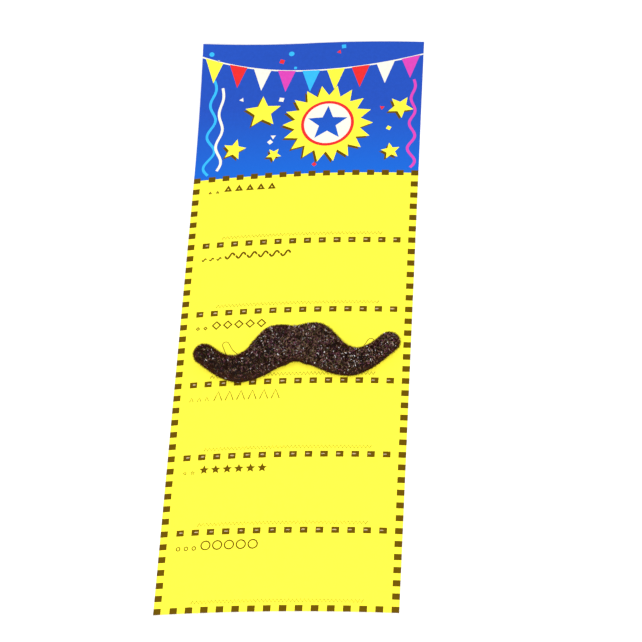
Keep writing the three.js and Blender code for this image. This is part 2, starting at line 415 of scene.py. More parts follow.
def printed_dashes():
    """Dashes round every section, with the ink chipped off where they are perforated."""
    prints = []
    for line in range(SECTIONS + 1):
        for column in range(1, DASH_COLUMNS - 1):
            prints.append((BLACK, box(dash_x(column), line_y(line), DASH_LENGTH, DASH_HEIGHT)))
    for step in range(SECTIONS * BORDER_DASHES + 1):
        y = line_y(step / BORDER_DASHES)
        for side in (-1, 1):
            x = side * (HALF_W - DASH_LENGTH / 2)
            prints.append((BLACK, box(x, y, DASH_LENGTH, DASH_HEIGHT)))
    picks = random.Random(CHIP_SEED)
    for line in range(1, SECTIONS):
        for column in range(1, DASH_COLUMNS - 1):
            long = CHIP_LENGTH * picks.uniform(*CHIP_LONG)
            wide = CHIP_WIDTH * picks.uniform(*CHIP_WIDE)
            chip = ring(0, 0, 0.5, CHIP_POINTS, picks.uniform(0, CHIP_TURN))
            chip = [
                (x * long * picks.uniform(*CHIP_RAGGED), y * wide * picks.uniform(*CHIP_RAGGED))
                for x, y in chip
            ]
            middle = slit_x(column) + CHIP_SHIFT[0] + picks.uniform(-CHIP_STRAY[0], CHIP_STRAY[0])
            level = line_y(line) + CHIP_SHIFT[1] + picks.uniform(-CHIP_STRAY[1], CHIP_STRAY[1])
            prints.append((CHIPPED, [(x + middle, y + level) for x, y in chip]))
    return prints


# Rows of marks at the head of each section, and the rule at its foot
ROW_START = -42.5
ROW_DROP = 6.0
ROW_GAP = 1.5
SMALL_STEP = 3.4
LARGE_STEP = 5.0
MARK_ROWS = (
    # mark, its line, how many small ones come first, how many large ones follow; from the foot up
    ("ring", 0.4, 3, 5),
    ("star", 0.9, 2, 6),
    ("chevron", 0.42, 3, 6),
    ("diamond", 0.42, 2, 5),
    ("wave", 0.85, 3, 6),
    ("triangle", 0.6, 2, 5),
)
MARK_SMALL = 1.0
MARK_LARGE = 2.2
MARK_FORMS = {
    # mark: points, waist, turn
    "ring": (20, 1.0, 0.0),
    "star": (5, 0.45, math.pi / 2),
    "diamond": (4, 1.0, 0.0),
    "triangle": (3, 1.0, math.pi / 2),
}
CHEVRON_ARM = 0.8
WAVE_RISE = 0.6
WAVE_POINTS = 17
LINE_SPREAD = 1.4
STAR_INSET = 0.6
RULE_START = -35.0
RULE_END = 37.0
RULE_RISE = 3.4
RULE_LINE = 0.3
RULE_SWING = 0.7
RULE_STEP = 0.8


def outlined_mark(kind, line, x, y, size):
    """One generic mark of a row. Small marks have a thinner line than large ones."""
    thin = line * (1 + size / MARK_LARGE) / 2
    if kind == "chevron":
        arm = size * CHEVRON_ARM
        return [(BLACK, band([(x - arm, y - size), (x, y + size), (x + arm, y - size)], thin))]
    if kind == "wave":
        steps = np.linspace(-1, 1, WAVE_POINTS)
        rise = size * WAVE_RISE * np.sin(math.pi * steps)
        return [(BLACK, band(np.column_stack([x + size * steps, y + rise]), thin))]
    points, waist, turn = MARK_FORMS[kind]
    depth = math.cos(math.pi / points) if waist == 1 else STAR_INSET
    inner = 1 - LINE_SPREAD * thin / (size * depth)
    shape = (size, size * waist) if waist < 1 else size
    hollow = (size * inner, size * waist * inner) if waist < 1 else size * inner
    return [(BLACK, ring(x, y, shape, points, turn)), (YELLOW, ring(x, y, hollow, points, turn))]


def section_marks():
    """A row of outlined marks at the head of each section and a fine zigzag rule at its foot."""
    prints = []
    for section, (kind, line, small, large) in enumerate(MARK_ROWS):
        y = line_y(section + 1) - ROW_DROP
        for i in range(small):
            x = ROW_START + i * SMALL_STEP
            prints += outlined_mark(kind, line, x, y - MARK_LARGE / 2, MARK_SMALL)
        start = ROW_START + small * SMALL_STEP + ROW_GAP
        for i in range(large):
            prints += outlined_mark(kind, line, start + i * LARGE_STEP, y, MARK_LARGE)
        x = np.arange(RULE_START, RULE_END, RULE_STEP)
        swing = np.where(np.arange(len(x)) % 2, RULE_SWING, -RULE_SWING)
        rule = np.column_stack([x, line_y(section) + RULE_RISE + swing])
        prints.append((BLACK, band(rule, RULE_LINE)))
    return prints


# Guide under the moustache: half its spine in millimetres from its middle, and its half depth
GUIDE_PLACE = (2.2, -21.7)
GUIDE_SPINE = (
    # out, rise, half
    (0.0, 1.5, 3.6),
    (8.0, 1.6, 4.2),
    (16.0, -2.6, 3.4),
    (24.0, -2.4, 2.4),
    (29.0, 1.3, 1.9),
    (31.5, 5.8, 1.6),
)
GUIDE_LINE = 0.3
GUIDE_STATIONS = 60
GUIDE_CAP_STEPS = 8
GUIDE_CHORD = 0.02


def guide_marks():
    """The thin drawn outline that shows where the moustache is placed, peeping out beside it."""
    foot, way, reach, _ = outline(GUIDE_SPINE, GUIDE_STATIONS, GUIDE_CAP_STEPS, GUIDE_CHORD)
    outer = foot + way * reach[:, None] + GUIDE_PLACE
    inner = foot + way * (reach - GUIDE_LINE)[:, None] + GUIDE_PLACE
    return [(BLACK, [tuple(p) for p in outer]), (YELLOW, [tuple(p) for p in inner])]


# Party print in the header
HEADER_FOOT = line_y(SECTIONS)
BUNTING_TOP = 133.0
BUNTING_SAG = 8.5
STRING_WIDTH = 0.7
STRING_POINTS = 49
PENNANTS = 9
PENNANT_WIDTH = 8.2
PENNANT_DROP = 11.5
PENNANT_INKS = (YELLOW, RED, WHITE, MAGENTA, CYAN)
BURST_PLACE = (9.0, 95.5)
BURST_RADII = (20.5, 15.0)
BURST_POINTS = 18
BURST_RING = 12.0
BURST_PLATE = 10.6
BURST_STAR = (9.4, 4.0)
ROUND_POINTS = 48
SHADOW_SHIFT = (-0.9, -1.0)
STARS = (
    # x, y, outer radius, turn
    (-21.0, 103.0, 8.6, 0.35),
    (41.5, 104.0, 6.0, -0.2),
    (-33.0, 84.0, 5.6, 0.1),
    (38.0, 80.5, 4.4, 0.5),
    (-14.5, 80.0, 3.6, -0.3),
)
STAR_POINTS = 5
STAR_WAIST = 0.45
STREAMERS = (
    # ink, x, top, foot, swing, waves
    (CYAN, -44.5, 121.0, 71.5, 2.6, 3.0),
    (MAGENTA, 47.0, 119.0, 72.0, 1.9, 3.5),
    (WHITE, -40.5, 117.0, 73.5, 1.7, 2.5),
)
STREAMER_WIDTH = 1.25
STREAMER_POINTS = 56
STREAMER_STIFF = 0.35
STREAMER_REACH = (70, 124, 3)
CONFETTI = 58
CONFETTI_SIZE = (0.8, 1.5)
CONFETTI_CORNERS = (4, 3, 12)
CONFETTI_INKS = (YELLOW, MAGENTA, WHITE, CYAN, RED)
CONFETTI_SEED = 7
CONFETTI_APART = 2.6
CONFETTI_MARGIN = 2.0
CONFETTI_FOOT = 3.0
CLEAR_OF_BURST = 1.5
CLEAR_OF_STAR = 1.2
CLEAR_OF_STREAMER = 1.6
CLEAR_OF_STRING = 1.5
CLEAR_OF_PENNANT = 2.0


def bunting_y(x):
    """The height of the sagging string."""
    return BUNTING_TOP - BUNTING_SAG * (1 - (x / HALF_W) ** 2)


def header_print():
    """A string of bunting over streamers, confetti, stars and a round burst, on blue."""
    prints = [(BLUE, box(0, (HEADER_FOOT + HALF_L) / 2, CARD_WIDTH, HALF_L - HEADER_FOOT))]
    for colour, x, top, foot, swing, waves in STREAMERS:
        steps = np.linspace(0, 1, STREAMER_POINTS)
        loose = STREAMER_STIFF + (1 - STREAMER_STIFF) * steps
        sway = x + swing * np.sin(2 * math.pi * waves * steps) * loose
        path = np.column_stack([sway, top + (foot - top) * steps])
        prints.append((colour, band(path, STREAMER_WIDTH)))
    taken = [(*BURST_PLACE, BURST_RADII[0] + CLEAR_OF_BURST)]
    taken += [(x, y, outer + CLEAR_OF_STAR) for x, y, outer, _ in STARS]
    for _, x, _, _, swing, _ in STREAMERS:
        taken += [(x, y, swing + CLEAR_OF_STREAMER) for y in range(*STREAMER_REACH)]
    picks = random.Random(CONFETTI_SEED)
    for i in range(CONFETTI):
        x = picks.uniform(-HALF_W + CONFETTI_MARGIN, HALF_W - CONFETTI_MARGIN)
        y = picks.uniform(HEADER_FOOT + CONFETTI_FOOT, HALF_L - CONFETTI_MARGIN)
        size = picks.uniform(*CONFETTI_SIZE)
        turn = picks.uniform(0, math.pi)
        above = y - bunting_y(x)
        near_string = -PENNANT_DROP - CLEAR_OF_PENNANT < above < CLEAR_OF_STRING
        if near_string or any(math.hypot(x - a, y - b) < r for a, b, r in taken):
            continue
        taken.append((x, y, CONFETTI_APART))
        colour = CONFETTI_INKS[i % len(CONFETTI_INKS)]
        corners = CONFETTI_CORNERS[i % len(CONFETTI_CORNERS)]
        prints.append((colour, ring(x, y, size, corners, turn)))
    string = [(x, bunting_y(x)) for x in np.linspace(-HALF_W, HALF_W, STRING_POINTS)]
    prints.append((WHITE, band(string, STRING_WIDTH)))
    for i in range(PENNANTS):
        x = CARD_WIDTH * ((i + 0.5) / PENNANTS - 0.5)
        left, right = x - PENNANT_WIDTH / 2, x + PENNANT_WIDTH / 2
        tip = (x, bunting_y(x) - PENNANT_DROP)
        pennant = [(left, bunting_y(left)), tip, (right, bunting_y(right))]
        prints.append((PENNANT_INKS[i % len(PENNANT_INKS)], pennant))
    for x, y, outer, turn in STARS:
        star = (outer, outer * STAR_WAIST)
        shade_x, shade_y = x + SHADOW_SHIFT[0], y + SHADOW_SHIFT[1]
        prints.append((BLACK, ring(shade_x, shade_y, star, STAR_POINTS, turn)))
        prints.append((YELLOW, ring(x, y, star, STAR_POINTS, turn)))
    x, y = BURST_PLACE
    shade_x, shade_y = x + SHADOW_SHIFT[0], y + SHADOW_SHIFT[1]
    prints.append((BLACK, ring(shade_x, shade_y, BURST_RADII, BURST_POINTS)))
    prints.append((YELLOW, ring(x, y, BURST_RADII, BURST_POINTS)))
    prints.append((RED, ring(x, y, BURST_RING, ROUND_POINTS)))
    prints.append((WHITE, ring(x, y, BURST_PLATE, ROUND_POINTS)))
    prints.append((BLUE, ring(x, y, BURST_STAR, STAR_POINTS, math.pi / 2)))
    return prints


def holes_in_card():
    """Perforation slits, the pin hole and the holes of the staple's legs."""
    holes = []
    for line in range(1, SECTIONS):
        for column in range(1, DASH_COLUMNS - 1):
            holes.append(box(slit_x(column), line_y(line), SLIT_LENGTH, SLIT_WIDTH))
    pin = (PIN_HOLE_FROM_LEFT - HALF_W, HALF_L - PIN_HOLE_FROM_TOP)
    holes.append(ring(*pin, PIN_HOLE_RADIUS, PIN_HOLE_POINTS))
    leg = (STAPLE_CROWN - STAPLE_WIRE) / 2
    for end in (-leg, leg):
        x, y, _ = moustache_to_card(staple_to_moustache([(end, 0.0, 0.0)]))[0]
        holes.append(ring(x, y, STAPLE_WIRE / 2 + STAPLE_CLEARANCE, STAPLE_HOLE_POINTS))
    return holes


def inside(points, outline_points):
    """Which points lie inside a closed outline."""
    loop = np.asarray(outline_points, float)
    hit = np.zeros(len(points), bool)
    low, high = loop.min(0), loop.max(0)
    near = np.flatnonzero(((points >= low) & (points <= high)).all(1))
    x, y = points[near].T
    inner = np.zeros(len(near), bool)
    for (x0, y0), (x1, y1) in zip(loop, np.roll(loop, -1, axis=0)):
        if y0 != y1:
            crosses = (y0 > y) != (y1 > y)
            inner ^= crosses & (x < (x1 - x0) * (y - y0) / (y1 - y0) + x0)
    hit[near] = inner
    return hit


def make_card():
    """The card as one closed sheet, divided along every printed edge, bent and perforated."""
    prints = [(YELLOW, box(0, 0, CARD_WIDTH, CARD_LENGTH))]
    prints += section_marks() + guide_marks() + header_print() + printed_dashes()
    holes = holes_in_card()
    corners, edges = [], []
    for loop in [loop for _, loop in prints] + holes:
        first = len(corners)
        corners.extend(Vector(p) for p in loop)
        edges.extend((first + i, first + (i + 1) % len(loop)) for i in range(len(loop)))
    bow_lines = np.arange(-HALF_W + BOW_STEP, HALF_W, BOW_STEP)
    curl_lines = np.arange(HEADER_FOOT + CURL_STEP, HALF_L, CURL_STEP)
    folds = [((x, -HALF_L), (x, HALF_L)) for x in bow_lines]
    folds += [((-HALF_W, y), (HALF_W, y)) for y in curl_lines]
    for start, end in folds:
        edges.append((len(corners), len(corners) + 1))
        corners.extend((Vector(start), Vector(end)))
    flat, _, triangles, _, _, _ = delaunay_2d_cdt(corners, edges, [], 0, MERGE_DISTANCE)
    flat = np.array([tuple(p) for p in flat])
    triangles = np.array(triangles)
    middles = flat[triangles].mean(1)
    colours = np.zeros(len(triangles), int)
    for colour, loop in prints:
        colours[inside(middles, loop)] = colour
    # The ends of the bunting's string reach past the card, which leaves slivers along its edges.
    kept = (np.abs(middles) < (HALF_W - EDGE_SLACK, HALF_L - EDGE_SLACK)).all(1)
    for hole in holes:
        kept &= ~inside(middles, hole)
    colours = colours[kept]
    used, renumbered = np.unique(triangles[kept], return_inverse=True)
    flat, triangles = flat[used], renumbered.reshape(-1, 3)
    count = len(flat)
    face = bend(np.column_stack([flat, np.full(count, CARD_THICKNESS)]))
    back = bend(np.column_stack([flat, np.zeros(count)]))
    sides = np.concatenate([triangles[:, [0, 1]], triangles[:, [1, 2]], triangles[:, [2, 0]]])
    known = {tuple(side) for side in sides}
    rims = [(a, b) for a, b in known if (b, a) not in known]
    rim_corners = sorted({corner for side in rims for corner in side})
    wall = {corner: 2 * count + i for i, corner in enumerate(rim_corners)}
    drop = len(rim_corners)
    points = np.vstack([face, back, face[rim_corners], back[rim_corners]])
    faces = [tuple(t) for t in triangles]
    faces += [tuple(t[::-1] + count) for t in triangles]
    faces += [(wall[b], wall[a], wall[a] + drop, wall[b] + drop) for a, b in rims]
    slots = np.concatenate([colours, np.full(len(triangles) + len(rims), BOARD)])
    inks = [
        ink("yellow_ink", (0.93, 0.83, 0.045)),
        ink("black_ink", (0.117, 0.0635, 0.0008), gloss=0.03),
        header_blue(),
        ink("red_ink", (0.72, 0.02, 0.02)),
        ink("magenta_ink", (0.62, 0.05, 0.4)),
        ink("cyan_ink", (0.03, 0.42, 0.78)),
        ink("white_ink", (0.8, 0.76, 0.66)),
        ink("chipped_ink", (0.6, 0.4, 0.14)),
        board(),
    ]
    card = make_object("printed_card", points, faces, inks, slots)
    finish_piece(card, "display_card")


# The moustache


def spine_curve(rows):
    """A smooth curve through the rows and their mirror images, evenly spaced along its length."""
    rows = np.asarray(rows, float)
    mirrored = rows[:0:-1] * (-1, 1, 1)
    knots = np.vstack([mirrored, rows])
    ends = 2 * knots[[0, -1]] - knots[[1, -2]]
    knots = np.vstack([ends[:1], knots, ends[1:]])
    path = []
    for a, b, c, d in zip(knots, knots[1:], knots[2:], knots[3:]):
        gaps = ((a, b), (b, c), (c, d))
        before, between, after = (math.sqrt(np.linalg.norm(q - p)) for p, q in gaps)
        leave = between * ((b - a) / before - (c - a) / (before + between)) + (c - b)
        arrive = between * ((d - c) / after - (d - b) / (between + after)) + (c - b)
        t = np.linspace(0, 1, CURVE_STEPS, endpoint=False)[:, None]
        path.append(
            (2 * t**3 - 3 * t**2 + 1) * b
            + (t**3 - 2 * t**2 + t) * leave
            + (3 * t**2 - 2 * t**3) * c
            + (t**3 - t**2) * arrive
        )
    path = np.vstack(path + [knots[-2:-1]])
    gone = np.concatenate([[0], np.cumsum(np.linalg.norm(np.diff(path, axis=0), axis=1))])
    gone /= gone[-1]
    return lambda at: np.column_stack([np.interp(at, gone, path[:, k]) for k in range(3)])


def outline(rows, stations, cap_steps, chord):
    """The closed outline round a spine, anticlockwise: feet, ways out, reaches and stations."""
    curve = spine_curve(rows)
    at = np.linspace(0, 1, stations + 1)
    spine = curve(at)
    along = curve(np.clip(at + chord, 0, 1)) - curve(np.clip(at - chord, 0, 1))
    along = along[:, :2] / np.linalg.norm(along[:, :2], axis=1)[:, None]
    cap = np.arange(1, cap_steps) * math.pi / cap_steps
    order = np.arange(stations + 1)
    station = np.concatenate(
        [order, np.full(len(cap), stations), order[::-1], np.zeros(len(cap), int)]
    )
    quarter = math.pi / 2
    turn = np.concatenate(
        [np.full(len(order), -quarter), cap - quarter, np.full(len(order), quarter), cap + quarter]
    )
    c, s = np.cos(turn), np.sin(turn)
    ax, ay = along[station].T
    way = np.column_stack([ax * c - ay * s, ax * s + ay * c])
    return spine[station, :2], way, spine[station, 2], station


def moustache_rows():
    """The moustache's table in millimetres."""
    scale = (MOUSTACHE_WIDTH / 2, MOUSTACHE_HEIGHT, MOUSTACHE_HEIGHT)
    return np.asarray(SPINE) * scale


def staple_distance(points):
    """How far points of the moustache's layout lie from the line of the staple's crown."""
    ends = staple_to_moustache([(-STAPLE_CROWN / 2, 0, 0), (STAPLE_CROWN / 2, 0, 0)])[:, :2]
    run = ends[1] - ends[0]
    share = np.clip((points[:, :2] - ends[0]) @ run / (run @ run), 0, 1)
    return np.linalg.norm(points[:, :2] - ends[0] - share[:, None] * run, axis=1)


def pile_bed():
    """The bed's surface in the moustache's layout, from its edge up, and its faces."""
    foot, way, reach, station = outline(moustache_rows(), STATIONS, CAP_STEPS, RIB_CHORD)
    count = len(reach)
    rings, depths = [], []
    inset, rise = BED_EDGE[-1]
    rows = [(*row, 1.0) for row in BED_EDGE]
    rows += [(inset, BED_CROWN, 1 - (i + 1) / (BED_RINGS + 1)) for i in range(BED_RINGS)]
    for inset, rise, share in rows:
        out = (reach - inset) * share
        level = np.full(count, PILE_Z + rise * PILE_HEIGHT)
        rings.append(np.column_stack([foot + way * out[:, None], level]))
        depths.append(reach - out)
    feet = np.array([foot[np.argmax(station == i)] for i in range(STATIONS + 1)])
    crown = np.column_stack([feet, np.full(len(feet), PILE_Z + BED_CROWN * PILE_HEIGHT)])
    points = np.vstack(rings + [crown])
    for point in points[count:]:
        lift = noise.noise(Vector(point) / BED_BUMP_SIZE)
        point[2] += BED_BUMP * lift
    near = np.clip((staple_distance(points) - STAPLE_GROOVE) / STAPLE_GROOVE_SLOPE, 0, 1)
    sunk = 1 - near**2 * (3 - 2 * near)
    points[:, 2] -= sunk * np.clip(points[:, 2] - PILE_Z - STAPLE_GROOVE_FLOOR, 0, None)
    nexts = np.roll(np.arange(count), -1)
    faces = []
    for r in range(len(rings) - 1):
        low, high = r * count, (r + 1) * count
        faces += [(low + i, low + n, high + n, high + i) for i, n in enumerate(nexts)]
    last, top = (len(rings) - 1) * count, len(rings) * count
    for i, n in enumerate(nexts):
        corners = [last + i, last + n, top + station[n], top + station[i]]
        faces.append(corners if station[i] != station[n] else corners[:3])
    depths.append([reach[np.argmax(station == i)] for i in range(STATIONS + 1)])
    return points, faces, rings[0], np.concatenate(depths)


def make_bed(points, faces, rim):
    """The closed bed: ground cloth below, dense roots of the pile above."""
    count = len(rim)
    low = rim.copy()
    low[:, 2] = PLUSH_Z
    base = len(points)
    nexts = np.roll(np.arange(count), -1)
    sides = [(base + i, base + n, n, i) for i, n in enumerate(nexts)]
    foot, _, _, station = outline(moustache_rows(), STATIONS, CAP_STEPS, RIB_CHORD)
    feet = np.array([foot[np.argmax(station == i)] for i in range(STATIONS + 1)])
    under = np.column_stack([feet, np.full(len(feet), PLUSH_Z)])
    below = base + count
    bottoms = []
    for i, n in enumerate(nexts):
        corners = [base + n, base + i, below + station[i], below + station[n]]
        bottoms.append(corners if station[i] != station[n] else corners[:3])
    everything = bend(moustache_to_card(np.vstack([points, low, under])))
    bed = make_object("pile_bed", everything, faces + sides + bottoms, [pile_bed_black()])
    finish_piece(bed, "moustache_plush")


# What the hairs' node group is told: the name of each input, and its kind
HAIR_INPUTS = (
    ("Surface", "Geometry"),
    ("Density", "Float"),
    ("Length", "Float"),
    ("Thickness", "Float"),
    ("Curl", "Float"),
    ("Tip", "Float"),
    ("Joints", "Int"),
    ("Lean", "Float"),
    ("Upward", "Float"),
    ("Clump", "Float"),
    ("Clump Scale", "Float"),
    ("Lift", "Float"),
    ("Place", "String"),
    ("Seed", "Int"),
    ("Hair", "Material"),
)
HAIR_SIDES = 3


def fibre_tree():
    """Hairs scattered over a surface. Its inputs say how many, how long and how unruly."""
    tree = bpy.data.node_groups.new("pile_hairs", "GeometryNodeTree")
    sockets = {}
    for name, kind in HAIR_INPUTS:
        kind = "NodeSocket" + kind
        socket = tree.interface.new_socket(name=name, in_out="INPUT", socket_type=kind)
        sockets[name] = socket.identifier
    tree.interface.new_socket(name="Hairs", in_out="OUTPUT", socket_type="NodeSocketGeometry")
    nodes, links = tree.nodes, tree.links

    def node(kind, **settings):
        made = nodes.new(kind)
        for key, value in settings.items():
            setattr(made, key, value)
        return made

    def maths(operation, a, b):
        made = node("ShaderNodeMath", operation=operation)
        for socket, value in zip(made.inputs, (a, b)):
            if isinstance(value, (int, float)):
                socket.default_value = value
            else:
                links.new(value, socket)
        return made.outputs[0]

    def vectors(operation, a, b=None, scale=None):
        made = node("ShaderNodeVectorMath", operation=operation)
        for socket, value in zip(made.inputs, (a, b)):
            if isinstance(value, tuple):
                socket.default_value = value
            elif value is not None:
                links.new(value, socket)
        if scale is not None:
            links.new(scale, made.inputs["Scale"])
        return made.outputs[0]

    def randoms(kind, low, high, draw):
        made = node("FunctionNodeRandomValue", data_type=kind)
        live = [s for s in made.inputs if s.enabled and s.name in ("Min", "Max")]
        live[0].default_value, live[1].default_value = low, high
        links.new(maths("ADD", given["Seed"], draw), made.inputs["Seed"])
        return next(s for s in made.outputs if s.enabled)

    def attribute(name):
        made = node("GeometryNodeInputNamedAttribute", data_type="FLOAT")
        if isinstance(name, str):
            made.inputs["Name"].default_value = name
        else:
            links.new(name, made.inputs["Name"])
        return made.outputs["Attribute"]

    def noise_at_points(scale, detail):
        made = node("ShaderNodeTexNoise")
        links.new(node("GeometryNodeInputPosition").outputs[0], made.inputs["Vector"])
        links.new(scale, made.inputs["Scale"])
        made.inputs["Detail"].default_value = detail
        return made.outputs

    given = node("NodeGroupInput").outputs
    scatter = node("GeometryNodeDistributePointsOnFaces", distribute_method="RANDOM")
    links.new(given["Surface"], scatter.inputs["Mesh"])
    density = maths("MULTIPLY", given["Density"], attribute(given["Place"]))
    links.new(density, scatter.inputs["Density"])
    links.new(given["Seed"], scatter.inputs["Seed"])

    clumps = noise_at_points(given["Clump Scale"], CLUMP_DETAIL)["Color"]
    centred = vectors("SUBTRACT", clumps, (0.5, 0.5, 0.5))
    together = vectors("SCALE", centred, scale=given["Clump"])
    stray = randoms("FLOAT_VECTOR", (-1, -1, -1), (1, 1, 1), draw=11)
    apart = vectors("SCALE", stray, scale=given["Lean"])
    upright = vectors("SCALE", (0.0, 0.0, 1.0), scale=given["Upward"])
    way = vectors("ADD", vectors("ADD", scatter.outputs["Normal"], upright), together)
    way = vectors("ADD", way, apart)

    spin = node("FunctionNodeAxisAngleToRotation")
    spin.inputs["Axis"].default_value = (0, 0, 1)
    links.new(randoms("FLOAT", 0.0, 2 * math.pi, draw=23), spin.inputs["Angle"])
    lean = node("FunctionNodeAlignRotationToVector", axis="Z")
    links.new(spin.outputs[0], lean.inputs["Rotation"])
    links.new(way, lean.inputs["Vector"])

    size = node("ShaderNodeCombineXYZ")
    girth = randoms("FLOAT", *HAIR_GIRTHS, draw=31)
    links.new(girth, size.inputs["X"])
    links.new(girth, size.inputs["Y"])
    stretch = maths("MULTIPLY", randoms("FLOAT", *HAIR_LENGTHS, draw=37), attribute("length"))
    links.new(stretch, size.inputs["Z"])

    blade = node("GeometryNodeMeshCone", fill_type="NGON")
    blade.inputs["Vertices"].default_value = HAIR_SIDES
    radius = maths("MULTIPLY", given["Thickness"], 0.5)
    links.new(given["Joints"], blade.inputs["Side Segments"])
    links.new(maths("MULTIPLY", radius, given["Tip"]), blade.inputs["Radius Top"])
    links.new(radius, blade.inputs["Radius Bottom"])
    links.new(given["Length"], blade.inputs["Depth"])
    straight = node("ShaderNodeSeparateXYZ")
    links.new(node("GeometryNodeInputPosition").outputs[0], straight.inputs[0])
    arc = maths("DIVIDE", given["Length"], given["Curl"])
    angle = maths("DIVIDE", straight.outputs["Z"], arc)
    reach = maths("SUBTRACT", arc, straight.outputs["X"])
    coiled = node("ShaderNodeCombineXYZ")
    inward = maths("MULTIPLY", reach, maths("COSINE", angle, 0.0))
    links.new(maths("SUBTRACT", arc, inward), coiled.inputs["X"])
    links.new(straight.outputs["Y"], coiled.inputs["Y"])
    links.new(maths("MULTIPLY", reach, maths("SINE", angle, 0.0)), coiled.inputs["Z"])
    curled = node("GeometryNodeSetPosition")
    links.new(blade.outputs["Mesh"], curled.inputs["Geometry"])
    links.new(coiled.outputs[0], curled.inputs["Position"])
    smooth = node("GeometryNodeSetShadeSmooth")
    links.new(curled.outputs[0], smooth.inputs[0])

    raised = node("GeometryNodeSetPosition")
    rise = node("ShaderNodeCombineXYZ")
    height = maths("MULTIPLY", given["Lift"], randoms("FLOAT", 0.0, 1.0, draw=41))
    links.new(height, rise.inputs["Z"])
    links.new(scatter.outputs["Points"], raised.inputs["Geometry"])
    links.new(rise.outputs[0], raised.inputs["Offset"])
    grow = node("GeometryNodeInstanceOnPoints")
    links.new(raised.outputs[0], grow.inputs["Points"])
    links.new(smooth.outputs[0], grow.inputs["Instance"])
    links.new(lean.outputs[0], grow.inputs["Rotation"])
    links.new(size.outputs[0], grow.inputs["Scale"])
    real = node("GeometryNodeRealizeInstances")
    links.new(grow.outputs[0], real.inputs[0])
    painted = node("GeometryNodeSetMaterial")
    links.new(real.outputs[0], painted.inputs["Geometry"])
    links.new(given["Hair"], painted.inputs["Material"])
    links.new(painted.outputs[0], node("NodeGroupOutput").inputs[0])
    return tree, sockets


# Each kind of hair: its colour, roughness and gloss, its number and form, and where it grows
HAIRS = {
    "pile_black": (
        ((0.0095, 0.0038, 0.0016), 0.45, 0.1),
        dict(Count=16000, Length=1.5, Thickness=0.2, Curl=0.9, Lean=0.6, Upward=0.45),
        dict(Lift=0, Place="crown", Seed=3),
    ),
    "pile_brown": (
        ((0.037, 0.0088, 0.002), 0.45, 0.1),
        dict(Count=15000, Length=1.5, Thickness=0.2, Curl=0.9, Lean=0.6, Upward=0.45),
        dict(Lift=0, Place="cover", Seed=5),
    ),
    "pile_rim": (
        ((0.1, 0.026, 0.005), 0.5, 0.08),
        dict(Count=16000, Length=1.45, Thickness=0.2, Curl=0.9, Lean=0.5, Upward=0.4),
        dict(Lift=0, Place="rim", Seed=9),
    ),
    # Pale grey, violet and olive hairs: partly the pile's own pale fibres, partly a painted sheen
    # standing in for light caught by the shiny pile.
    "pile_grey": (
        ((0.33, 0.195, 0.115), 0.35, 0.35),
        dict(Count=1700, Length=1.35, Thickness=0.21, Curl=2.8, Tip=0.4, Joints=5, Lean=1.0, Upward=0.0),
        dict(Lift=1.0, Place="crown", Seed=8),
    ),
    "pile_violet": (
        ((0.25, 0.072, 0.125), 0.35, 0.35),
        dict(Count=1100, Length=1.3, Thickness=0.21, Curl=2.2, Tip=0.4, Joints=4, Lean=1.0, Upward=0.0),
        dict(Lift=1.0, Place="crown", Seed=21),
    ),
    "pile_olive": (
        ((0.13, 0.125, 0.036), 0.35, 0.35),
        dict(Count=700, Length=1.3, Thickness=0.21, Curl=2.6, Tip=0.4, Joints=4, Lean=1.0, Upward=0.0),
        dict(Lift=1.0, Place="crown", Seed=34),
    ),
    # Painted glints: thick near-white hairs on top of the pile stand in for bright glints of light on
    # its shiny fibres.
    "pile_painted_glints": (
        ((0.9, 0.74, 0.7), 0.25, 0.7),
        dict(Count=400, Length=0.8, Thickness=0.37, Curl=1.2, Tip=0.5, Joints=3, Lean=1.0, Upward=0.2),
        dict(Lift=1.15, Place="crown", Seed=13),
    ),
}
HAIR_GIRTHS = (0.75, 1.25)
HAIR_LENGTHS = (0.7, 1.2)
CLUMP = 1.4
CLUMP_SIZE = 0.9
CLUMP_DETAIL = 2.0
RIM_DEPTH = 3.0
RIM_FADE = 1.8
CROWN_DEPTH = 0.3
CROWN_FADE = 1.3
PARTING_INSIDE = 0.3
PARTING_FADE = 0.7
PARTING_COVER = 0.25
PRESSED_REACH = 1.6
PRESSED_LENGTH = 0.6
RIM_LENGTH = 0.72
RIM_LENGTH_DEPTH = 0.7
RIM_LENGTH_SLOPE = 0.3
DRIFT = 0.45
DRIFT_SIZE = 5.0
PAINTED_SHEEN_ALONG = (
    # out, share: how much of the pile lies so that it shines along the moustache, painted as a sheen by
    # more or fewer hairs
    (-0.9, 0.5),
    (-0.5, 0.5),
    (-0.3, 0.8),
    (0.05, 1.35),
    (0.3, 0.95),
    (0.65, 0.7),
    (0.9, 1.4),
)


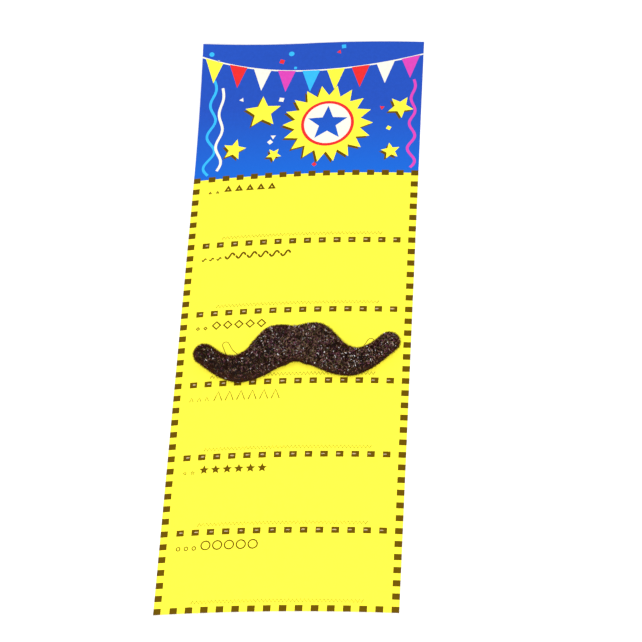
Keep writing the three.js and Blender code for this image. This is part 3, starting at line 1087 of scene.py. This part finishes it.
def make_hairs(points, faces, depth):
    """Grows every kind of hair on the bed and keeps each as one plain mesh."""
    distance = staple_distance(points)
    surface = make_object("hair_surface", bend(moustache_to_card(points)), faces, [])
    mesh = surface.data
    cover = np.clip((distance - PARTING_INSIDE) / PARTING_FADE, PARTING_COVER, 1)
    drift_and_sheen = np.array([1 + DRIFT * noise.noise(Vector(point) / DRIFT_SIZE) for point in points])
    # Painted sheen: the random drift is scaled along the moustache, so hairs grow denser where the pile
    # shines and sparser where it lies dark.
    out, share = np.transpose(PAINTED_SHEEN_ALONG)
    drift_and_sheen *= np.interp(points[:, 0] / (MOUSTACHE_WIDTH / 2), out, share)
    pressed = np.clip(distance / PRESSED_REACH, PRESSED_LENGTH, 1)
    trimmed = np.clip(RIM_LENGTH + (depth - RIM_LENGTH_DEPTH) * RIM_LENGTH_SLOPE, 0, 1)
    fields = {
        "cover": cover,
        "rim": cover * np.clip((RIM_DEPTH - depth) / RIM_FADE, 0, 1),
        # The crown field, which the black and pale hairs follow, carries the painted sheen along the
        # moustache.
        "crown": cover * np.clip((depth - CROWN_DEPTH) / CROWN_FADE, 0, 1) * drift_and_sheen,
        "length": pressed * trimmed,
    }
    for name, values in fields.items():
        field = mesh.attributes.new(name, "FLOAT", "POINT")
        field.data.foreach_set("value", values.astype(np.float32))
    area = sum(face.area for face in mesh.polygons)
    tree, sockets = fibre_tree()
    for name, (finish, form, site) in HAIRS.items():
        given = {**form, **site}
        grower = surface.modifiers.new(name, "NODES")
        grower.node_group = tree
        values = {
            "Density": given["Count"] / area,
            "Length": given["Length"] * MM,
            "Thickness": given["Thickness"] * MM,
            "Curl": given["Curl"],
            "Tip": given.get("Tip", 0.0),
            "Joints": given.get("Joints", 2),
            "Lean": given["Lean"],
            "Upward": given["Upward"],
            "Clump": CLUMP,
            "Clump Scale": 1 / (CLUMP_SIZE * MM),
            "Lift": given["Lift"] * MM,
            "Place": given["Place"],
            "Seed": given["Seed"],
            "Hair": hair(name, *finish),
        }
        for key, value in values.items():
            grower[sockets[key]] = value
        grown = bpy.data.meshes.new_from_object(
            surface.evaluated_get(bpy.context.evaluated_depsgraph_get())
        )
        grown.name = name
        piece = bpy.data.objects.new(name, grown)
        bpy.context.scene.collection.objects.link(piece)
        finish_piece(piece, "moustache_plush")
        surface.modifiers.remove(grower)
    bpy.data.objects.remove(surface)


# The staple


def make_staple():
    """Round wire bent to a staple: crown, legs and the ends clinched behind the card."""
    radius = STAPLE_WIRE / 2
    crown_z = PILE_Z + STAPLE_CLEARANCE + radius
    clinch_z = -STAPLE_CLEARANCE - radius
    leg_x = STAPLE_CROWN / 2 - radius
    tip_x = leg_x + radius - STAPLE_CLINCH
    half = [(0.0, crown_z), (leg_x, crown_z), (leg_x, clinch_z), (tip_x, clinch_z)]
    path = [half[0]]
    for before, corner, after in zip(half, half[1:], half[2:]):
        before, corner, after = map(Vector, (before, corner, after))
        start = corner + (before - corner).normalized() * STAPLE_BEND
        end = corner + (after - corner).normalized() * STAPLE_BEND
        for t in np.linspace(0, 1, STAPLE_BEND_STEPS):
            path.append(tuple(start * (1 - t) ** 2 + corner * 2 * t * (1 - t) + end * t**2))
    path.append(half[-1])
    path = np.array([(-x, z) for x, z in path[:0:-1]] + path)
    ways = np.gradient(path, axis=0)
    ways /= np.linalg.norm(ways, axis=1)[:, None]
    sides = STAPLE_SIDES
    rings = []
    for (x, z), (wx, wz) in zip(path, ways):
        for k in range(sides):
            angle = 2 * math.pi * k / sides
            out, aside = radius * math.cos(angle), radius * math.sin(angle)
            rings.append((x - wz * out, aside, z + wx * out))
    faces = []
    for r in range(len(path) - 1):
        for k in range(sides):
            n = (k + 1) % sides
            faces.append((r * sides + k, (r + 1) * sides + k, (r + 1) * sides + n, r * sides + n))
    last = (len(path) - 1) * sides
    faces += [tuple(range(sides)), tuple(last + k for k in range(sides))[::-1]]
    points = bend(moustache_to_card(staple_to_moustache(rings)))
    wire = make_object("staple_wire", points, faces, [staple_steel()])
    finish_piece(wire, "staple")


# Stage, camera and lights
FLOOR_HALF = 3000.0
FLOOR_GREY = (0.86, 0.86, 0.86, 1.0)
FLOOR_ROUGHNESS = 0.9
SKY_WHITE = (0.97, 0.98, 1.0, 1.0)
SKY_STRENGTH = 0.72
CLIP_START = 10.0


def make_stage():
    material, shader = new_material("studio_floor")
    shader.inputs["Base Color"].default_value = FLOOR_GREY
    shader.inputs["Roughness"].default_value = FLOOR_ROUGHNESS
    far = FLOOR_HALF
    corners = [(-far, -far, 0), (far, -far, 0), (far, far, 0), (-far, far, 0)]
    floor = make_object("studio_floor", corners, [(0, 1, 2, 3)], [material])


def aim(thing, place, target, up):
    """Stands a camera or a light at a place, looking at a target."""
    place, target = Vector(place), Vector(target)
    back = (place - target).normalized()
    right = Vector(up).cross(back).normalized()
    top = back.cross(right)
    turn = Matrix((right, top, back)).transposed()
    thing.matrix_world = Matrix.Translation(place * MM) @ turn.to_4x4()


def make_camera():
    data = bpy.data.cameras.new("camera")
    data.lens = CAMERA_LENS
    data.sensor_width = SENSOR
    data.clip_start = CLIP_START * MM
    camera = bpy.data.objects.new("camera", data)
    bpy.context.scene.collection.objects.link(camera)
    aim(camera, CAMERA_PLACE, CAMERA_AIM, CAMERA_UP)
    bpy.context.scene.camera = camera


LIGHTS = (
    # name, place, size, power
    ("key", (120.0, -590.0, 930.0), 160.0, 8.6),
    ("left", (-760.0, -160.0, 620.0), 700.0, 1.7),
    ("right", (760.0, 60.0, 620.0), 700.0, 1.7),
)


def make_lights():
    for name, place, size, power in LIGHTS:
        data = bpy.data.lights.new(name, "AREA")
        data.size = size * MM
        data.energy = power
        light = bpy.data.objects.new(name, data)
        bpy.context.scene.collection.objects.link(light)
        aim(light, place, (0, 0, 0), (0, 0, 1))
    world = bpy.data.worlds.new("studio")
    world.use_nodes = True
    sky = world.node_tree.nodes["Background"]
    sky.inputs["Color"].default_value = SKY_WHITE
    sky.inputs["Strength"].default_value = SKY_STRENGTH
    bpy.context.scene.world = world
    bpy.context.scene.view_settings.view_transform = "Standard"


make_camera()
make_lights()
make_stage()
make_card()
bed_points, bed_faces, bed_rim, bed_depth = pile_bed()
make_bed(bed_points, bed_faces, bed_rim)
make_hairs(bed_points, bed_faces, bed_depth)
make_staple()
for node_name, finish in (("backing_paper", release_paper()), ("adhesive_back", adhesive())):
    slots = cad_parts[node_name].data.materials
    slots.clear()
    slots.append(finish)
